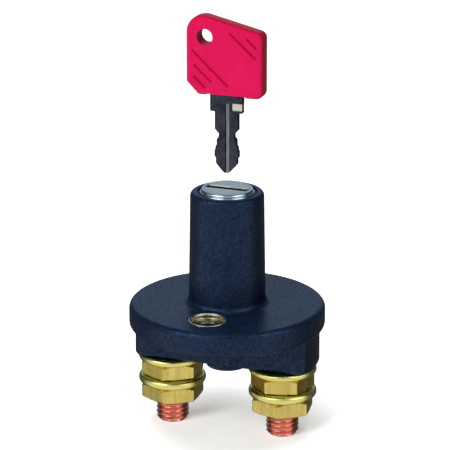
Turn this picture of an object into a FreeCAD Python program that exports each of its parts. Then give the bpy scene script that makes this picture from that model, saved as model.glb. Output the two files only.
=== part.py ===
"""Key-operated battery switch: housings, key lock, contact bridge, two M10 terminals and the key.

Millimetres. The origin is the centre of the two panel screws on the flange's underside.
+Z runs up the lock's axis, +X along the two terminals. The key is drawn out of the lock.
"""
import FreeCAD, Part
import math
import os
import Sketcher

DIMENSIONS = {
    # flange and lock neck
    "flange_radius": 30.0,
    "flange_thick": 7.7,
    "flange_top_round": 1.8,
    "flange_foot_round": 2.0,
    "neck_base_radius": 11.75,
    "neck_top_radius": 11.2,
    "neck_top": 43.0,
    "cavity_radius": 9.9,
    "shelf_low": 33.8,
    "channel_roof": 3.6,
    # terminal block under the flange
    "block_radius": 28.5,
    "block_half_width": 8.5,
    "block_seat": 0.6,
    "block_depth": 10.7,
    "block_floor": 2.0,
    "channel_half_length": 25.2,
    "channel_half_width": 6.8,
    "boss_radius": 6.5,
    "boss_depth": 13.0,
    "boss_pocket_radius": 4.0,
    "spigot_radius": 9.85,
    "spigot_high": 3.4,
    # screws and bushes
    "screw_offset": 17.5,
    "bush_radius": 5.9,
    "screw_hole_radius": 3.2,
    "counterbore_radius": 5.1,
    "counterbore_floor": 6.1,
    "bush_chamfer": 0.45,
    # lock barrel
    "barrel_radius": 7.6,
    "barrel_low": 22.0,
    "barrel_seat": 42.5,
    "barrel_flange_radius": 8.4,
    "barrel_step_radius": 7.95,
    "barrel_face_radius": 7.55,
    "barrel_face": 44.0,
    "bore_radius": 5.85,
    "relief_radius": 6.5,
    "relief_low": 25.0,
    "relief_high": 41.0,
    "seal_radius": 8.95,
    "seal_thick": 0.8,
    "ring_nut_radius": 9.5,
    "ring_nut_low": 31.2,
    # lock plug
    "plug_radius": 5.8,
    "plug_head_radius": 7.0,
    "plug_head_low": 42.2,
    "plug_low": 20.8,
    "clip_groove_radius": 5.0,
    "recess_half_length": 6.35,
    "recess_half_width": 1.2,
    "recess_depth": 1.5,
    "keyway_half_length": 4.25,
    "keyway_half_width": 1.15,
    "keyway_low": 23.1,
    "tang_low": 17.5,
    "wafer_low": 26.5,
    "wafer_pitch": 2.6,
    "wafer_thick": 0.9,
    "wafer_travel": 0.5,
    # drive rotor and contact bridge
    "rotor_radius": 9.8,
    "rotor_low": 9.0,
    "rotor_high": 12.0,
    "hub_radius": 4.6,
    "hub_high": 20.4,
    "nose_circle": 5.0,
    "nose_radius": 1.2,
    "nose_low": 5.25,
    "bridge_rise": 2.5,
    "ramp_foot": 5.0,
    "bridge_low": -1.6,
    "bridge_thick": 3.0,
    "bridge_half_length": 22.0,
    "bridge_half_width": 5.0,
    "tip_radius": 3.0,
    "tip_thick": 0.8,
    # terminals
    "terminal_offset": 18.0,
    "stud_radius": 5.0,
    "stud_shank_radius": 4.95,
    "stud_thread_high": -25.8,
    "stud_low": -33.0,
    "stud_head": 3.0,
    "stud_head_half": 6.6,
    "stud_chamfer": 1.1,
    "washer_radius": 10.4,
    "washer_thick": 2.0,
    "heavy_washer_thick": 2.6,
    "nut_flats": 17.0,
    "nut_thick": 5.0,
    # key
    "key_tip": 48.9,
    "blade_length": 19.0,
    "blade_half_width": 3.65,
    "blade_thick": 2.0,
    "shoulder_half_width": 5.15,
    "shoulder_height": 5.1,
    "head_left": -12.3,
    "head_right": 12.0,
    "head_height": 24.3,
    "head_thick": 5.0,
    "ring_hole_radius": 2.4,
    "ring_hole_x": -6.3,
    "ring_hole_up": 17.9,
}

doc = FreeCAD.newDocument("battery_switch")
sheet = doc.addObject("Spreadsheet::Sheet", "Sizes")


class Size:
    """A length that carries its value and the sheet expression that gives it."""

    def __init__(self, value, text):
        self.value = value
        self.text = text

    def joined(self, other, sign, value):
        return Size(value, "(%s %s %s)" % (self.text, sign, other.text))

    def __add__(self, other):
        other = as_size(other)
        return self.joined(other, "+", self.value + other.value)

    def __sub__(self, other):
        other = as_size(other)
        return self.joined(other, "-", self.value - other.value)

    def __mul__(self, other):
        other = as_size(other)
        return self.joined(other, "*", self.value * other.value)

    def __radd__(self, other):
        return as_size(other) + self

    def __rsub__(self, other):
        return as_size(other) - self

    def __rmul__(self, other):
        return as_size(other) * self

    def __neg__(self):
        return as_size(0) - self


def as_size(number):
    if isinstance(number, Size):
        return number
    return Size(float(number), "%.6g" % number)


class Named:
    """Each driving dimension as an attribute, such as dim.flange_radius."""


dim = Named()
for row, (alias, number) in enumerate(DIMENSIONS.items(), start=1):
    sheet.set("A%d" % row, alias)
    sheet.set("B%d" % row, "%g" % number)
    sheet.setAlias("B%d" % row, alias)
    setattr(dim, alias, Size(number, "Sizes." + alias))
doc.recompute()

SUBPARTS = []


def bind(thing, path, size):
    size = as_size(size)
    thing.setExpression(path, size.text)


def place(thing, x=0, y=0, z=0):
    bind(thing, ".Placement.Base.x", x)
    bind(thing, ".Placement.Base.y", y)
    bind(thing, ".Placement.Base.z", z)
    return thing


def turn(thing, axis, degrees):
    thing.Placement.Rotation = FreeCAD.Rotation(axis, degrees)
    return thing


def subpart(label, thing):
    """Names a finished sub-part after its node."""
    thing.Label = label
    SUBPARTS.append(thing)
    return thing


UP = FreeCAD.Vector(0, 0, 1)
ACROSS = FreeCAD.Vector(1, 0, 0)
SIDEWAYS = FreeCAD.Vector(0, 1, 0)


# ---------------------------------------------------------------- primitives and booleans

def cylinder(radius, low, high, x=0, y=0):
    rod = doc.addObject("Part::Cylinder", "rod")
    bind(rod, "Radius", radius)
    bind(rod, "Height", as_size(high) - low)
    return place(rod, x, y, low)


def cross_cylinder(radius, x, z, half_length):
    """A cylinder along Y."""
    rod = doc.addObject("Part::Cylinder", "cross_rod")
    bind(rod, "Radius", radius)
    bind(rod, "Height", as_size(half_length) * 2)
    turn(rod, ACROSS, -90)
    return place(rod, x, -as_size(half_length), z)


def box(x, y, z):
    """A box from three (low, high) pairs."""
    block = doc.addObject("Part::Box", "block")
    for prop, (low, high) in zip(("Length", "Width", "Height"), (x, y, z)):
        bind(block, prop, as_size(high) - low)
    return place(block, x[0], y[0], z[0])


def centred_box(half_x, half_y, low, high):
    half_x = as_size(half_x)
    half_y = as_size(half_y)
    return box((-half_x, half_x), (-half_y, half_y), (low, high))


def fused(*shapes):
    union = doc.addObject("Part::MultiFuse", "union")
    union.Shapes = list(shapes)
    return union


def cut(base, *tools):
    difference = doc.addObject("Part::Cut", "difference")
    difference.Base = base
    difference.Tool = tools[0] if len(tools) == 1 else fused(*tools)
    return difference


def common(first, second):
    overlap = doc.addObject("Part::MultiCommon", "overlap")
    overlap.Shapes = [first, second]
    return overlap


# ---------------------------------------------------------------- bodies with sketches

def origin_plane(body, role):
    return [f for f in body.Origin.OriginFeatures if f.Role == role][0]


def new_sketch(body, plane):
    sketch = body.newObject("Sketcher::SketchObject", "outline")
    sketch.AttachmentSupport = (origin_plane(body, plane), [""])
    sketch.MapMode = "FlatFace"
    return sketch


def pin_corner(sketch, line, corner):
    """Holds a line's first point at the corner's two sizes."""
    for kind, axis, size in (("DistanceX", -2, corner[0]), ("DistanceY", -1, corner[1])):
        if size.value == 0:
            sketch.addConstraint(Sketcher.Constraint("PointOnObject", line, 1, axis))
            continue
        index = sketch.addConstraint(Sketcher.Constraint(kind, -1, 1, line, 1, size.value))
        bind(sketch, "Constraints[%d]" % index, size)


def polygon(body, plane, corners):
    """A closed outline whose corners are pairs of sizes."""
    corners = [(as_size(a), as_size(b)) for a, b in corners]
    points = [FreeCAD.Vector(a.value, b.value, 0) for a, b in corners]
    sketch = new_sketch(body, plane)
    count = len(points)
    for i in range(count):
        sketch.addGeometry(Part.LineSegment(points[i], points[(i + 1) % count]), False)
    for i in range(count):
        sketch.addConstraint(Sketcher.Constraint("Coincident", i, 2, (i + 1) % count, 1))
        pin_corner(sketch, i, corners[i])
    return sketch


def turned(corners):
    """A body turned about Z from (radius, height) corners."""
    body = doc.addObject("PartDesign::Body", "turned")
    sketch = polygon(body, "XZ_Plane", corners)
    revolution = body.newObject("PartDesign::Revolution", "revolution")
    revolution.Profile = sketch
    revolution.ReferenceAxis = (sketch, ["V_Axis"])
    revolution.Angle = 360.0
    sketch.Visibility = False
    return body


def padded(plane, corners, half_depth):
    """A body padded equally to both sides of a plane."""
    body = doc.addObject("PartDesign::Body", "padded")
    sketch = polygon(body, plane, corners)
    pad = body.newObject("PartDesign::Pad", "pad")
    pad.Profile = sketch
    pad.Midplane = True
    bind(pad, "Length", as_size(half_depth) * 2)
    return body


def rounded(body, radius, chooses):
    """Fillets every edge of the body that chooses(edge) picks."""
    doc.recompute()
    tip = body.Tip
    names = ["Edge%d" % (i + 1) for i, edge in enumerate(tip.Shape.Edges) if chooses(edge)]
    if not names:
        raise RuntimeError("no edge to round on " + body.Name)
    fillet = body.newObject("PartDesign::Fillet", "fillet")
    fillet.Base = (tip, names)
    bind(fillet, "Radius", radius)
    doc.recompute()
    return body


def circle_at(radius, height):
    """Picks the circular edges of one radius at one height."""
    def chooses(edge):
        curve = edge.Curve
        if not isinstance(curve, Part.Circle):
            return False
        return abs(curve.Radius - radius.value) < 1e-4 and abs(curve.Center.z - height) < 1e-4
    return chooses


def along(direction):
    """Picks the straight edges that run along a direction."""
    def chooses(edge):
        if not isinstance(edge.Curve, Part.Line):
            return False
        return abs(abs(edge.Curve.Direction.dot(direction)) - 1) < 1e-6
    return chooses


# ---------------------------------------------------------------- housings

def top_housing():
    seal_floor = dim.barrel_seat - dim.seal_thick
    seat_radius = dim.seal_radius + 0.05
    hole_radius = dim.barrel_radius + 0.05
    body = turned([
        (dim.cavity_radius, 0),
        (dim.flange_radius, 0),
        (dim.flange_radius, dim.flange_thick),
        (dim.neck_base_radius, dim.flange_thick),
        (dim.neck_top_radius, dim.neck_top),
        (seat_radius, dim.neck_top),
        (seat_radius, seal_floor),
        (hole_radius, seal_floor),
        (hole_radius, dim.shelf_low),
        (dim.cavity_radius, dim.shelf_low),
    ])
    rounded(body, 1.9, circle_at(dim.neck_base_radius, dim.flange_thick.value))
    rounded(body, 1.3, circle_at(dim.neck_top_radius, dim.neck_top.value))
    rounded(body, dim.flange_top_round, circle_at(dim.flange_radius, dim.flange_thick.value))
    rounded(body, dim.flange_foot_round, circle_at(dim.flange_radius, 0.0))
    holes = [cylinder(dim.bush_radius, -1, dim.flange_thick + 1, 0, dim.screw_offset * side)
             for side in (-1, 1)]
    channel = centred_box(dim.channel_half_length, dim.channel_half_width, -1, dim.channel_roof)
    block_recess = block_prism(0.3, -1, dim.block_seat)
    lug_notch = box((-1.1, 1.1), (7, dim.barrel_radius + 1.05), (dim.shelf_low - 1, seal_floor))
    return subpart("top_housing", cut(body, channel, block_recess, lug_notch, *holes))


def block_outline(body, gap):
    """Two flat sides joined by two arcs about the origin, all moved outwards by gap."""
    half_width = dim.block_half_width + gap
    arc_radius = dim.block_radius + gap
    half = half_width.value
    radius = arc_radius.value
    reach = math.sqrt(radius * radius - half * half)
    angle = math.asin(half / radius)
    sketch = new_sketch(body, "XY_Plane")
    circle = Part.Circle(FreeCAD.Vector(0, 0, 0), UP, radius)
    front = Part.LineSegment(FreeCAD.Vector(-reach, -half, 0), FreeCAD.Vector(reach, -half, 0))
    rear = Part.LineSegment(FreeCAD.Vector(reach, half, 0), FreeCAD.Vector(-reach, half, 0))
    sketch.addGeometry(front, False)
    sketch.addGeometry(Part.ArcOfCircle(circle, -angle, angle), False)
    sketch.addGeometry(rear, False)
    sketch.addGeometry(Part.ArcOfCircle(circle, math.pi - angle, math.pi + angle), False)
    for i in range(4):
        sketch.addConstraint(Sketcher.Constraint("Coincident", i, 2, (i + 1) % 4, 1))
    for arc in (1, 3):
        sketch.addConstraint(Sketcher.Constraint("Coincident", arc, 3, -1, 1))
        index = sketch.addConstraint(Sketcher.Constraint("Radius", arc, radius))
        bind(sketch, "Constraints[%d]" % index, arc_radius)
    for line, side in ((0, -1), (2, 1)):
        sketch.addConstraint(Sketcher.Constraint("Horizontal", line))
        index = sketch.addConstraint(Sketcher.Constraint("DistanceY", -1, 1, line, 1, side * half))
        bind(sketch, "Constraints[%d]" % index, half_width * side)
    return sketch


def block_prism(gap, low, high):
    """The terminal block's outline as a prism, its four corners rounded."""
    body = doc.addObject("PartDesign::Body", "block_body")
    pad = body.newObject("PartDesign::Pad", "pad")
    pad.Profile = block_outline(body, gap)
    bind(pad, "Length", as_size(high) - low)
    rounded(body, 3.2 + gap, along(UP))
    place(body, 0, 0, low)
    return body


def base_housing():
    low = -dim.block_depth
    body = block_prism(0, low, dim.block_seat)
    rounded(body, 1.3, lambda edge: edge.BoundBox.ZMax < 1e-4)

    boss = turned([
        (0, -dim.boss_depth),
        (dim.boss_radius, -dim.boss_depth),
        (dim.boss_radius, low + 1),
        (0, low + 1),
    ])
    rounded(boss, 0.8, circle_at(dim.boss_radius, -dim.boss_depth.value))
    spigot = cylinder(dim.spigot_radius, 0, dim.spigot_high)
    floor = low + dim.block_floor
    channel = centred_box(dim.channel_half_length, dim.channel_half_width, floor, dim.spigot_high + 1)
    pocket = cylinder(dim.boss_pocket_radius, 1 - dim.boss_depth, floor + 1)
    holes = [cylinder(dim.stud_radius + 0.05, low - 1, floor + 1, dim.terminal_offset * side)
             for side in (-1, 1)]
    return subpart("base_housing", cut(fused(body, boss, spigot), channel, pocket, *holes))


def mounting_bush(label, side):
    """A turned sleeve with a shallow counterbore whose floor is countersunk down to the screw hole."""
    countersink = 0.8
    body = turned([
        (dim.screw_hole_radius, 0),
        (dim.bush_radius, 0),
        (dim.bush_radius, dim.flange_thick),
        (dim.counterbore_radius + dim.bush_chamfer, dim.flange_thick),
        (dim.counterbore_radius, dim.flange_thick - dim.bush_chamfer),
        (dim.counterbore_radius, dim.counterbore_floor),
        (dim.screw_hole_radius + countersink, dim.counterbore_floor),
        (dim.screw_hole_radius, dim.counterbore_floor - countersink),
    ])
    place(body, 0, dim.screw_offset * side, 0)
    return subpart(label, body)


# ---------------------------------------------------------------- lock

def lock_barrel():
    counterbore = dim.plug_head_radius + 0.05
    seat = dim.plug_head_low - 0.05
    body = turned([
        (dim.bore_radius, dim.barrel_low),
        (dim.barrel_radius, dim.barrel_low),
        (dim.barrel_radius, dim.barrel_seat),
        (dim.barrel_flange_radius, dim.barrel_seat),
        (dim.barrel_flange_radius, dim.barrel_seat + 0.55),
        (dim.barrel_step_radius, dim.barrel_seat + 0.85),
        (dim.barrel_step_radius, dim.barrel_face - 0.3),
        (dim.barrel_face_radius, dim.barrel_face),
        (counterbore, dim.barrel_face),
        (counterbore, seat),
        (dim.bore_radius, seat),
        (dim.bore_radius, dim.relief_high),
        (dim.relief_radius, dim.relief_high),
        (dim.relief_radius, dim.relief_low),
        (dim.bore_radius, dim.relief_low),
    ])
    seal_floor = dim.barrel_seat - dim.seal_thick
    lug = box((-1, 1), (dim.barrel_radius - 0.6, dim.barrel_radius + 0.95), (seal_floor - 3, seal_floor))
    return subpart("lock_barrel", fused(body, lug))


def lock_seal():
    low = dim.barrel_seat - dim.seal_thick
    inner = dim.barrel_radius + 0.02
    return subpart("lock_seal", turned([
        (inner, low),
        (dim.seal_radius, low),
        (dim.seal_radius, dim.barrel_seat),
        (inner, dim.barrel_seat),
    ]))


def barrel_nut():
    ring = cut(
        cylinder(dim.ring_nut_radius, dim.ring_nut_low, dim.shelf_low),
        cylinder(dim.barrel_radius + 0.02, dim.ring_nut_low - 1, dim.shelf_low + 1),
    )
    notch_top = dim.ring_nut_low + 1.6
    notches = [
        centred_box(11, 1, dim.ring_nut_low - 1, notch_top),
        centred_box(1, 11, dim.ring_nut_low - 1, notch_top),
    ]
    return subpart("barrel_nut", cut(ring, *notches))


def wafer_height(index):
    return dim.wafer_low + dim.wafer_pitch * index


def ear_side(index):
    """Neighbouring wafers face opposite ways."""
    return 1 if index % 2 == 0 else -1


def spread(low, high, side):
    """A (low, high) pair, mirrored through zero where side is -1."""
    if side > 0:
        return (as_size(low), as_size(high))
    return (-as_size(high), -as_size(low))


def lock_plug():
    body = turned([
        (0, dim.plug_low),
        (dim.plug_radius, dim.plug_low),
        (dim.plug_radius, dim.plug_low + 0.2),
        (dim.clip_groove_radius, dim.plug_low + 0.2),
        (dim.clip_groove_radius, dim.barrel_low - 0.2),
        (dim.plug_radius, dim.barrel_low - 0.2),
        (dim.plug_radius, dim.plug_head_low),
        (dim.plug_head_radius, dim.plug_head_low),
        (dim.plug_head_radius, dim.barrel_face),
        (0, dim.barrel_face),
    ])
    recess_floor = dim.barrel_face - dim.recess_depth
    tools = [
        centred_box(dim.recess_half_length, dim.recess_half_width, recess_floor, dim.barrel_face + 1),
        centred_box(dim.keyway_half_length, dim.keyway_half_width, dim.keyway_low, recess_floor + 1),
    ]
    for index in range(6):
        low = wafer_height(index) - 0.1
        high = low + dim.wafer_thick + 0.2
        side = ear_side(index)
        tools.append(centred_box(7, 3.05, low, high))
        tools.append(box(spread(-2.5, 3.4, side), spread(2.9, 4.45, side), (low, high)))
    tang = centred_box(3.5, 1.5, dim.tang_low, dim.plug_low + 0.1)
    return subpart("lock_plug", cut(fused(body, tang), *tools))


def plug_circlip():
    ring = cut(
        cylinder(7.2, dim.barrel_low - 0.95, dim.barrel_low - 0.25),
        cylinder(dim.clip_groove_radius + 0.05, dim.plug_low, dim.barrel_low),
        box((0, 8), (-2.2, 2.2), (dim.plug_low, dim.barrel_low)),
    )
    return subpart("plug_circlip", ring)


def wafer(index):
    """One tumbler, standing out of the plug on its spring while the key is out."""
    side = ear_side(index)
    low = wafer_height(index)
    high = low + dim.wafer_thick
    disc = common(cylinder(dim.plug_radius - 0.05, low, high), centred_box(6, 2.95, low, high))
    window = centred_box(4.65, 1.2, low - 1, high + 1)
    ear = box(spread(-1.2, -0.3, side), spread(2.7, 4.3, side), (low, high))
    plate = fused(cut(disc, window), ear)
    place(plate, -dim.wafer_travel * side, 0, 0)
    return subpart("wafer_%d" % (index + 1), plate)


def wafer_springs():
    """Six short coil springs, each a plain tube between its wafer's ear and the plug."""
    tubes = []
    for index in range(6):
        side = ear_side(index)
        tube = Part.makeCylinder(0.42, 3.5).cut(Part.makeCylinder(0.22, 3.5))
        start = FreeCAD.Vector(-0.2 * side, 3.65 * side, wafer_height(index).value + 0.45)
        tube.Placement = FreeCAD.Placement(start, FreeCAD.Rotation(SIDEWAYS, 90 * side))
        tubes.append(tube)
    group = doc.addObject("Part::Feature", "springs")
    group.Shape = Part.makeCompound(tubes)
    return subpart("wafer_springs", group)


# ---------------------------------------------------------------- drive and contacts

def drive_rotor():
    middle = (dim.rotor_low.value + dim.rotor_high.value) / 2
    groove_floor = dim.rotor_radius - 1.45
    body = turned([
        (0, dim.rotor_low),
        (dim.rotor_radius, dim.rotor_low),
        (dim.rotor_radius, middle - 0.75),
        (groove_floor, middle - 0.75),
        (groove_floor, middle + 0.75),
        (dim.rotor_radius, middle + 0.75),
        (dim.rotor_radius, dim.rotor_high),
        (dim.hub_radius, dim.rotor_high),
        (dim.hub_radius, dim.hub_high),
        (0, dim.hub_high),
    ])
    pieces = [body]
    reach = dim.nose_circle * math.sqrt(0.5)
    for side in (-1, 1):
        tip = doc.addObject("Part::Sphere", "nose_tip")
        bind(tip, "Radius", dim.nose_radius)
        place(tip, reach * side, reach * side, dim.nose_low + dim.nose_radius)
        stem_low = dim.nose_low + dim.nose_radius
        pieces.append(tip)
        pieces.append(cylinder(dim.nose_radius, stem_low, dim.rotor_low + 1, reach * side, reach * side))
    slot = centred_box(3.6, 1.6, dim.tang_low - 0.3, dim.hub_high + 1)
    return subpart("drive_rotor", cut(fused(*pieces), slot))


def rotor_seal():
    ring = doc.addObject("Part::Torus", "o_ring")
    bind(ring, "Radius1", dim.rotor_radius - 0.7)
    bind(ring, "Radius2", 0.72)
    place(ring, 0, 0, (dim.rotor_low + dim.rotor_high) * 0.5)
    return subpart("rotor_seal", ring)


def bridge_carrier():
    """The crosshead: a plate with two opposed ramps and a pin through the bridge."""
    plate_low = dim.bridge_low + dim.bridge_thick + 0.6
    plate_high = dim.ramp_foot - 0.8
    plate = common(
        cylinder(9.4, plate_low, plate_high),
        centred_box(9, 6.3, plate_low, plate_high),
    )
    pin = cylinder(1.9, dim.bridge_low - 1.4, plate_low + 0.5)
    reach = dim.nose_circle * math.sqrt(0.5)
    slope = dim.bridge_rise.value / (2 * reach.value)
    half = 5.2
    low_side = dim.ramp_foot - (as_size(half) - reach) * slope
    high_side = dim.ramp_foot + (as_size(half) + reach) * slope
    pieces = [plate, pin]
    for side in (-1, 1):
        ramp = padded("YZ_Plane", [
            (-half * side, plate_low + 0.5),
            (half * side, plate_low + 0.5),
            (half * side, low_side),
            (-half * side, high_side),
        ], 1.8)
        place(ramp, dim.nose_circle * side, 0, 0)
        pieces.append(ramp)
    return subpart("bridge_carrier", fused(*pieces))


def contact_bridge():
    high = dim.bridge_low + dim.bridge_thick
    bar = centred_box(dim.bridge_half_length, dim.bridge_half_width, dim.bridge_low, high)
    return subpart("contact_bridge", cut(bar, cylinder(2.1, dim.bridge_low - 1, high + 1)))


def contact_spring():
    """A disc spring between carrier and bridge, which gives the contact pressure."""
    low = dim.bridge_low + dim.bridge_thick
    return subpart("contact_spring", turned([
        (2.2, low + 0.3),
        (4.5, low),
        (4.5, low + 0.3),
        (2.2, low + 0.6),
    ]))


def return_spring():
    wire = 0.4
    coil_radius = 3.2
    low = 1 - dim.boss_depth.value + wire
    high = dim.bridge_low.value - wire
    helix = Part.makeHelix((high - low) / 5, high - low, coil_radius)
    circle = Part.makeCircle(wire, FreeCAD.Vector(coil_radius, 0, 0), SIDEWAYS)
    coil = Part.Wire(helix).makePipeShell([Part.Wire(circle)], True, True)
    spring = doc.addObject("Part::Feature", "coil")
    spring.Shape = coil
    spring.Placement = FreeCAD.Placement(FreeCAD.Vector(0, 0, low), FreeCAD.Rotation())
    return subpart("return_spring", spring)


def contact_tip(label, side, low):
    tip = cylinder(dim.tip_radius, low, low + dim.tip_thick, dim.terminal_offset * side)
    return subpart(label, tip)


# ---------------------------------------------------------------- terminals

def terminal_stud(label, side):
    floor = dim.block_floor - dim.block_depth
    shank = turned([
        (0, dim.stud_low),
        (dim.stud_radius - dim.stud_chamfer, dim.stud_low),
        (dim.stud_radius, dim.stud_low + dim.stud_chamfer),
        (dim.stud_radius, dim.stud_thread_high),
        (dim.stud_shank_radius, dim.stud_thread_high),
        (dim.stud_shank_radius, floor + 1),
        (0, floor + 1),
    ])
    head = centred_box(dim.stud_head_half, dim.stud_head_half, floor, floor + dim.stud_head)
    stud = fused(shank, head)
    place(stud, dim.terminal_offset * side, 0, 0)
    return subpart(label, stud)


def washer(label, side, high, thick):
    low = high - thick
    edge = dim.washer_radius - 0.25
    body = turned([
        (dim.stud_radius + 0.25, low),
        (edge, low),
        (dim.washer_radius, low + 0.25),
        (dim.washer_radius, high - 0.25),
        (edge, high),
        (dim.stud_radius + 0.25, high),
    ])
    place(body, dim.terminal_offset * side, 0, 0)
    return subpart(label, body)


def thin_nut(label, side, high, degrees):
    """A hexagon nut with a chamfer on its upper face."""
    low = high - dim.nut_thick
    prism = doc.addObject("Part::Prism", "hexagon")
    prism.Polygon = 6
    bind(prism, "Circumradius", dim.nut_flats * (1 / math.sqrt(3)))
    bind(prism, "Height", dim.nut_thick)
    turn(prism, UP, degrees)
    place(prism, 0, 0, low)
    face = dim.nut_flats * 0.475
    crown = dim.nut_flats * 0.6
    rise = (crown - face) * math.tan(math.radians(30))
    spindle = turned([
        (dim.stud_radius + 0.02, low),
        (crown, low),
        (crown, high - rise),
        (face, high),
        (dim.stud_radius + 0.02, high),
    ])
    nut = common(prism, spindle)
    place(nut, dim.terminal_offset * side, 0, 0)
    return subpart(label, nut)


def terminal_hardware(name, side, upper_turn, lower_turn):
    """Washer, nut, heavy washer, nut from the block's underside down."""
    high = -dim.block_depth
    stack = (("upper", dim.washer_thick, upper_turn), ("lower", dim.heavy_washer_thick, lower_turn))
    for level, thick, degrees in stack:
        washer("%s_washer_%s" % (level, name), side, high, thick)
        thin_nut("%s_nut_%s" % (level, name), side, high - thick, degrees)
        high = high - thick - dim.nut_thick


# ---------------------------------------------------------------- key

# half width of the double-bitted blade against height above its tip
BITTING = [
    (0.7, 0.0), (2.4, 1.8), (3.3, 2.9), (3.3, 4.5), (3.75, 5.1), (3.75, 6.9), (3.45, 7.4), (3.45, 8.2),
    (3.05, 8.7), (3.05, 10.4), (2.4, 11.2), (2.4, 12.3), (3.65, 13.6),
]
TONGUE_HALF_WIDTH = 4.0
TONGUE_HEIGHT = 6.0
HEAD_RECESS = 0.5


def key_blade():
    tip = dim.key_tip
    shoulder = tip + dim.blade_length
    root = shoulder + dim.shoulder_height + HEAD_RECESS
    right = [(as_size(width), tip + rise) for width, rise in BITTING]
    right += [
        (dim.blade_half_width, shoulder),
        (dim.shoulder_half_width, shoulder),
        (dim.shoulder_half_width, root),
        (as_size(TONGUE_HALF_WIDTH), root),
        (as_size(TONGUE_HALF_WIDTH), root + TONGUE_HEIGHT),
    ]
    left = [(-width, height) for width, height in reversed(right)]
    body = padded("XZ_Plane", right + left, dim.blade_thick * 0.5)
    face = dim.blade_thick * 0.5
    grooves = []
    for side in (-1, 1):
        depth = spread(face - 0.4, face + 1, side)
        grooves.append(box((-0.35, 1.0), depth, (tip - 1, shoulder + 2.7)))
        grooves.append(box((1.7, dim.shoulder_half_width + 1), depth, (shoulder + 0.5, shoulder + 2.9)))
    return subpart("key_blade", cut(body, *grooves))


def key_groove(start, end, bottom, side):
    """A cutter for one slanted grip groove, from start to end, on one face of the head."""
    run = end[0] - start[0]
    fall = end[1] - start[1]
    depth = 0.4
    groove = doc.addObject("Part::Box", "groove")
    groove.Length = math.hypot(run, fall)
    groove.Width = 2
    groove.Height = 0.8
    turn(groove, SIDEWAYS, -math.degrees(math.atan2(fall, run)))
    face = dim.head_thick * 0.5
    near = face - depth if side > 0 else -face - 2 + depth
    return place(groove, start[0], near, bottom + start[1])


GRIP_GROOVES = [
    ((-10.0, 13.5), (0.8, 3.6)), ((-9.4, 9.0), (-4.5, 4.6)), ((-9.5, 5.5), (-6.3, 2.6)),
    ((1.8, 19.6), (9.6, 12.7)), ((7.2, 18.3), (9.9, 15.8)),
]


def key_head():
    bottom = dim.key_tip + dim.blade_length + dim.shoulder_height
    slope = 0.23
    crest_x = -6.0
    left_top = bottom + dim.head_height + (crest_x - dim.head_left.value) * slope
    right_top = bottom + dim.head_height + (crest_x - dim.head_right.value) * slope
    corner = 3.75
    body = padded("XZ_Plane", [
        (dim.head_left + corner, bottom),
        (dim.head_right, bottom),
        (dim.head_right, right_top),
        (dim.head_left, left_top),
        (dim.head_left, bottom + corner),
    ], dim.head_thick * 0.5)

    def corner_near(x, z):
        def chooses(edge):
            place_of = edge.CenterOfMass
            return along(SIDEWAYS)(edge) and math.hypot(place_of.x - x.value, place_of.z - z.value) < 0.1
        return chooses

    rounded(body, 5.4, corner_near(dim.head_left, left_top))
    rounded(body, 2.2, corner_near(dim.head_right, right_top))
    rounded(body, 2.4, corner_near(dim.head_right, bottom))
    rounded(body, 1.2, corner_near(dim.head_left, bottom + corner))
    rounded(body, 1.2, corner_near(dim.head_left + corner, bottom))
    half = dim.head_thick.value / 2

    def on_a_face(edge):
        bounds = edge.BoundBox
        level = bounds.YMax - bounds.YMin < 1e-4
        return level and abs(abs(bounds.YMin) - half) < 1e-4

    rounded(body, 0.9, on_a_face)
    hole = cross_cylinder(dim.ring_hole_radius, dim.ring_hole_x, bottom + dim.ring_hole_up, 4)
    recess = box((-6.3, 6.4), (-4, 4), (bottom - 1, bottom + HEAD_RECESS))
    tongue = centred_box(TONGUE_HALF_WIDTH + 0.02, dim.blade_thick * 0.5 + 0.02,
                         bottom, bottom + (TONGUE_HEIGHT + HEAD_RECESS + 0.02))
    grooves = [key_groove(start, end, bottom, side) for start, end in GRIP_GROOVES for side in (-1, 1)]
    return subpart("key_head", cut(body, hole, recess, tongue, *grooves))


# ---------------------------------------------------------------- build and write

def build():
    top_housing()
    base_housing()
    mounting_bush("mounting_bush_front", -1)
    mounting_bush("mounting_bush_rear", 1)
    lock_barrel()
    lock_seal()
    barrel_nut()
    lock_plug()
    plug_circlip()
    for index in range(6):
        wafer(index)
    wafer_springs()
    drive_rotor()
    rotor_seal()
    bridge_carrier()
    contact_bridge()
    contact_spring()
    return_spring()
    fixed_low = dim.block_floor - dim.block_depth + dim.stud_head
    for name, side, upper_turn, lower_turn in (("left", -1, 32.5, 32.5), ("right", 1, 15, 38)):
        terminal_stud("terminal_stud_" + name, side)
        terminal_hardware(name, side, upper_turn, lower_turn)
        contact_tip("fixed_contact_" + name, side, fixed_low)
        contact_tip("bridge_contact_" + name, side, dim.bridge_low - dim.tip_thick)
    key_blade()
    key_head()


def check():
    for thing in doc.Objects:
        if "Invalid" in thing.State or "Error" in thing.State:
            raise RuntimeError("%s (%s) did not build" % (thing.Name, thing.Label))
    for thing in SUBPARTS:
        if thing.Shape.isNull() or not thing.Shape.isValid():
            raise RuntimeError("%s has no valid shape" % thing.Label)


def write():
    os.makedirs("parts", exist_ok=True)
    for thing in SUBPARTS:
        thing.Shape.exportStep(os.path.join("parts", thing.Label + ".step"))


build()
doc.recompute()
check()
write()
for thing in SUBPARTS:
    limits = thing.Shape.BoundBox
    print("%-22s %9.1f mm3  z %7.2f to %7.2f  solids %d" % (
        thing.Label, thing.Shape.Volume, limits.ZMin, limits.ZMax, len(thing.Shape.Solids)))
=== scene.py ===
"""Battery switch: the visual model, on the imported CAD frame.

Shapes are made in millimetres in the CAD frame and scaled to metres as each piece is finished.
"""
import math

import bmesh
import bpy
from mathutils import Matrix, Vector

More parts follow.
